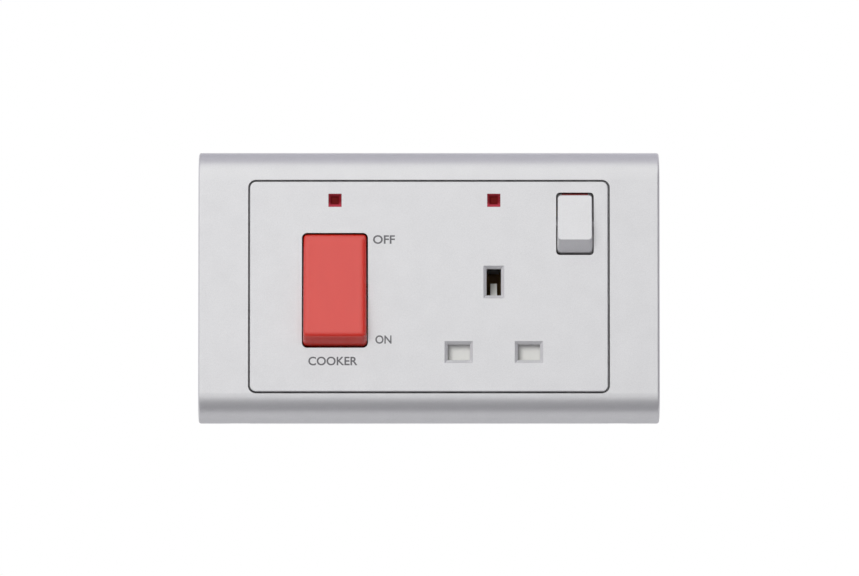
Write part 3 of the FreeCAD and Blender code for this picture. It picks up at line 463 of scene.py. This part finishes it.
# %% [markdown]
# ## Moulded plastics
# The shutter, the base and the plungers are unpainted mouldings. The shutter is a warm white
# acetal, the base a matt thermoset from a spark-eroded tool, and the plungers natural nylon. They
# share one recipe, a fine tool texture over cloudy colour, with its own size and depth for each.

# %% Moulded plastics
def moulded(name, dark, pale, texture, depth, roughness):
    """Unpainted plastic with a tool texture of the given size and depth."""
    plastic = new_finish(name)
    texture_height = plastic.spread(plastic.grain(texture, detail=3.0), 0.30, 0.70)
    patches = plastic.grain(9 * MM, detail=3.0)
    vary(plastic,
         Base_Color=plastic.mix(patches * 0.8 + texture_height * 0.2, dark, pale),
         Roughness=roughness + texture_height * 0.10,
         Normal=plastic.bump(texture_height, depth))
    return plastic


shutter_plastic = moulded("warm_white", tint(0.71, 0.71, 0.675), tint(0.77, 0.77, 0.735),
                          texture=0.35 * MM, depth=0.004 * MM, roughness=0.38)
base_plastic = moulded("base_plastic", tint(0.55, 0.54, 0.51), tint(0.63, 0.62, 0.59),
                       texture=0.30 * MM, depth=0.020 * MM, roughness=0.50)
nylon = moulded("natural_nylon", tint(0.68, 0.66, 0.58), tint(0.76, 0.74, 0.67),
                texture=0.40 * MM, depth=0.003 * MM, roughness=0.30)
dress(shutter_plastic, "shutter")
dress(base_plastic, "rear_base")
dress(nylon, "cooker_live_plunger", "cooker_neutral_plunger", "socket_plunger")

# %% [markdown]
# ## Metals inside
# Terminals, bars and links are brass pressed from rolled strip, the see-saw contacts are copper, the
# screws and springs are zinc-plated steel, and the leads of the neons are tinned wire. Rolling
# leaves fine lines along the strip, and air leaves brown patches on brass, so one recipe stretches a
# noise into lines and mixes a tarnish over it by a second, larger noise.

# %% Metals inside
def strip_metal(name, bright, tarnish, stretch, line, spread_of_tarnish, roughness):
    """Rolled metal: stretched fine lines, and patches of tarnish."""
    metal = new_finish(name, Metallic=1.0)
    lines = metal.grain(line, stretch=stretch, detail=2.0)
    patches = metal.spread(metal.grain(5 * MM, detail=4.0), 0.62 - spread_of_tarnish, 0.78)
    vary(metal,
         Base_Color=metal.mix(patches * 0.6 + lines * 0.15, bright, tarnish),
         Roughness=roughness + patches * 0.18 + lines * 0.10,
         Normal=metal.bump(lines, 0.003 * MM))
    return metal


along_x = (0.06, 1, 1)
even = (1, 1, 1)
brass = strip_metal("pressed_brass", tint(0.78, 0.57, 0.25), tint(0.42, 0.27, 0.12),
                    along_x, line=0.10 * MM, spread_of_tarnish=0.12, roughness=0.24)
copper = strip_metal("rolled_copper", tint(0.86, 0.50, 0.36), tint(0.45, 0.22, 0.15),
                     along_x, line=0.10 * MM, spread_of_tarnish=0.10, roughness=0.24)
steel = strip_metal("zinc_steel", tint(0.66, 0.66, 0.64), tint(0.48, 0.47, 0.42),
                    even, line=0.18 * MM, spread_of_tarnish=0.08, roughness=0.28)
wire = strip_metal("tinned_wire", tint(0.72, 0.72, 0.71), tint(0.50, 0.50, 0.48),
                   even, line=0.12 * MM, spread_of_tarnish=0.06, roughness=0.22)
print("metals ready")

# %% Which solid has which metal
terminals = [node for node in frame["nodes"] if node.endswith("_terminal")]
bars = [node for node in frame["nodes"] if node.endswith(("_bar", "_link", "_strap"))]
springs = [node for node in frame["nodes"] if node.endswith("_spring")]
dress(brass, *terminals, *bars)
dress(copper, "cooker_live_contact", "cooker_neutral_contact", "socket_switch_contact")
dress(steel, "base_screws", "terminal_screws", *springs)
dress(wire, "cooker_neon_lead", "socket_neon_lead")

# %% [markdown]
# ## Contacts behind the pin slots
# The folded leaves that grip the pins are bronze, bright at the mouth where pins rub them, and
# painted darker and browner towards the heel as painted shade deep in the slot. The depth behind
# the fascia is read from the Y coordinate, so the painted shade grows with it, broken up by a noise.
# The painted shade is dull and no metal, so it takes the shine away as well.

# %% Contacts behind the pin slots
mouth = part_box("socket_earth_contact")[0].y
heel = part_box("socket_earth_contact")[1].y
bronze = new_finish("bronze_with_painted_shade")
depth = bronze.along("Y")
shade_edge_noise = bronze.grain(1.6 * MM, detail=3.0)
# painted shade: darker, browner, duller and less metal the deeper a point lies in the slot
painted_depth_shade = bronze.spread(depth + shade_edge_noise * (3 * MM), mouth + 2 * MM, mouth + (heel - mouth) * 0.6)
rubbed = bronze.grain(0.12 * MM, stretch=(1, 0.08, 1))
vary(bronze,
     Base_Color=bronze.mix(painted_depth_shade, tint(0.74, 0.50, 0.24), tint(0.34, 0.20, 0.080)),
     Metallic=1.0 - painted_depth_shade * 0.8,
     Roughness=0.26 + painted_depth_shade * 0.25 + rubbed * 0.10,
     Normal=bronze.bump(rubbed, 0.003 * MM))
dress(bronze, "socket_live_contact", "socket_neutral_contact", "socket_earth_contact")

# %% [markdown]
# ## Lamps and resistors of the neons
# A neon lamp is a small glass bottle with two electrodes, and a resistor in line with it has bands
# of colour round its body. The bands are made from the distance along the body: each band is where
# that distance lies between two values, which is a product of two comparisons.

# %% Lamp glass
glass = new_finish("lamp_glass", Transmission_Weight=0.8, IOR=1.5)
haze = glass.grain(1.5 * MM)
vary(glass,
     Base_Color=glass.mix(haze, tint(0.90, 0.74, 0.66), tint(0.95, 0.85, 0.80)),
     Roughness=0.04 + haze * 0.05)
dress(glass, "cooker_neon_lamp", "socket_neon_lamp")

# %% Resistors with colour bands
band_places = (0.22, 0.40, 0.58, 0.82)
orange = tint(0.75, 0.22, 0.02)
yellow = tint(0.70, 0.60, 0.05)
gold = tint(0.55, 0.40, 0.12)
band_colours = (orange, orange, yellow, gold)
band_width = 0.10


def banded(node):
    """Lacquered body with four bands across its length."""
    low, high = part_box(node)
    paint = new_finish(node + "_lacquer", Coat_Weight=0.4)
    across = paint.along("X")
    share = (across - low.x) * (1 / (high.x - low.x))
    patch = paint.grain(0.6 * MM)
    colour = paint.mix(patch, tint(0.62, 0.48, 0.30), tint(0.72, 0.58, 0.40))
    for middle, band in zip(band_places, band_colours):
        within = (share > middle - band_width / 2) * (share < middle + band_width / 2)
        colour = paint.mix(within, colour, band)
    vary(paint, Base_Color=colour, Roughness=0.30 + patch * 0.10)
    dress(paint, node)


banded("cooker_neon_resistor")
banded("socket_neon_resistor")
print("without a finish:", sorted(set(frame["nodes"]) - dressed))

# %% [markdown]
# ## Printed words
# OFF and ON stand beside the red rocker and COOKER below it, pad-printed in grey ink a few
# hundredths of a millimetre thick. A texture would need an image, so the words are text objects
# turned into meshes, scaled to the measured letters and laid on the fascia. Each is made twice as
# thick as it shows, and half of it is sunk in the face. The ink is thinner at some places, which
# shows as a slight mottle.

# %% Letters on a face
half_depth = 0.5
boldness = 0.018
same_point = 0.0005


def letters(name, words, height, thickness, place, back=False, width=None):
    """Words as a thin mesh on a face that looks forward, or backward to be read from behind."""
    bpy.ops.object.select_all(action="DESELECT")
    bpy.ops.object.text_add()
    word = bpy.context.object
    word.name = name
    word.data.body = words
    word.data.extrude = half_depth
    word.data.offset = boldness
    bpy.ops.object.convert(target="MESH")
    bpy.ops.object.mode_set(mode="EDIT")
    bpy.ops.mesh.select_all(action="SELECT")
    bpy.ops.mesh.remove_doubles(threshold=same_point)
    bpy.ops.mesh.normals_make_consistent(inside=False)
    bpy.ops.object.mode_set(mode="OBJECT")
    low = Vector([min(corner[way] for corner in word.bound_box) for way in range(3)])
    high = Vector([max(corner[way] for corner in word.bound_box) for way in range(3)])
    tall = height / (high.y - low.y)
    wide = width / (high.x - low.x) if width else tall
    word.data.transform(Matrix.Translation(-(low + high) / 2))
    word.scale = (wide, tall, 2 * thickness)
    word.rotation_euler = (math.radians(90), 0, math.radians(180 if back else 0))
    word.location = place
    bpy.ops.object.transform_apply(location=True, rotation=True, scale=True)
    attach(word, "housing")
    print(words, "is", round((high.x - low.x) * wide / MM, 1), "mm wide")
    return word


print("letters ready")

# %% Printed words
ink = new_finish("grey_ink")
cover = ink.grain(0.25 * MM, detail=3.0)
vary(ink,
     Base_Color=ink.mix(cover, tint(0.115, 0.115, 0.12), tint(0.175, 0.175, 0.18)),
     Roughness=0.45 + cover * 0.15)
fascia_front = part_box("front_plate")[0].y
ink_thickness = 0.03 * MM
for name, words, width, height, x, z in (
        ("word_off", "OFF", 6.9, 2.75, -14.25, 14.9),
        ("word_on", "ON", 5.1, 2.65, -14.4, -16.8),
        ("word_cooker", "COOKER", 15.5, 2.75, -30.4, -23.6)):
    place = (x * MM, fascia_front, z * MM)
    word = letters(name, words, height * MM, ink_thickness, place, width=width * MM)
    word.data.materials.append(ink.material)

# %% [markdown]
# ## Raised marks at the terminals
# Behind, each terminal is marked with its conductor: L for live, N for neutral and E for earth. The
# letters are cut into the mould, so they stand up from the base in its own plastic. They are the
# same kind of mesh as the printed words, thicker, and turned to be read from behind.

# %% Raised marks at the terminals
back_face = 18.0 * MM
mark_height = 2.8 * MM
mark_rise = 0.35 * MM
mark_row = 11.6 * MM
for node in sorted(terminals):
    low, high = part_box(node)
    side = 1 if (low.z + high.z) > 0 else -1
    conductor = [letter for letter in ("live", "neutral", "earth") if letter in node][0]
    place = ((low.x + high.x) / 2, back_face, side * mark_row)
    mark = letters("mark_" + node, conductor[0].upper(), mark_height, mark_rise, place, back=True)
    mark.data.materials.append(base_plastic.material)

# %% [markdown]
# ## Spring copies
# A spring is held at one end and pushed at the other, so it can neither stand still nor go with the
# piece that pushes it. Scaling it with a driver would be lost in the exported model. Here each CAD
# spring is copied, the copy's loose triangles are merged and shaded smooth, and the copy stands in
# for the solid, which is hidden. The copy rides with the solid's body and does not shorten.

# %% Spring copies
same_place = 0.001 * MM
crease = math.radians(40)


def live_spring(node):
    """A merged, smooth copy of a CAD spring that stands in for the hidden solid."""
    solid = frame["nodes"][node]
    bpy.ops.object.select_all(action="DESELECT")
    solid.select_set(True)
    bpy.context.view_layer.objects.active = solid
    bpy.ops.object.duplicate()
    spring = bpy.context.object
    spring.name = node + "_coil"
    del spring["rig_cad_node"]
    bpy.ops.object.mode_set(mode="EDIT")
    bpy.ops.mesh.select_all(action="SELECT")
    bpy.ops.mesh.remove_doubles(threshold=same_place)
    bpy.ops.object.mode_set(mode="OBJECT")
    bpy.ops.object.shade_smooth_by_angle(angle=crease)
    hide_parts(node)
    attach(spring, body_of(solid)[0])
    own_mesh(spring)


for joint in frame["joints"]:
    for deforming in joint.get("deforming_nodes", []):
        live_spring(deforming["node"])

# %% [markdown]
# ## Sizes
# The finished model has to fit the CAD box, so the box of everything drawn is printed.

# %% Sizes
low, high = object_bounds()
print("visual box in mm:", [round(side / MM, 2) for side in high - low])
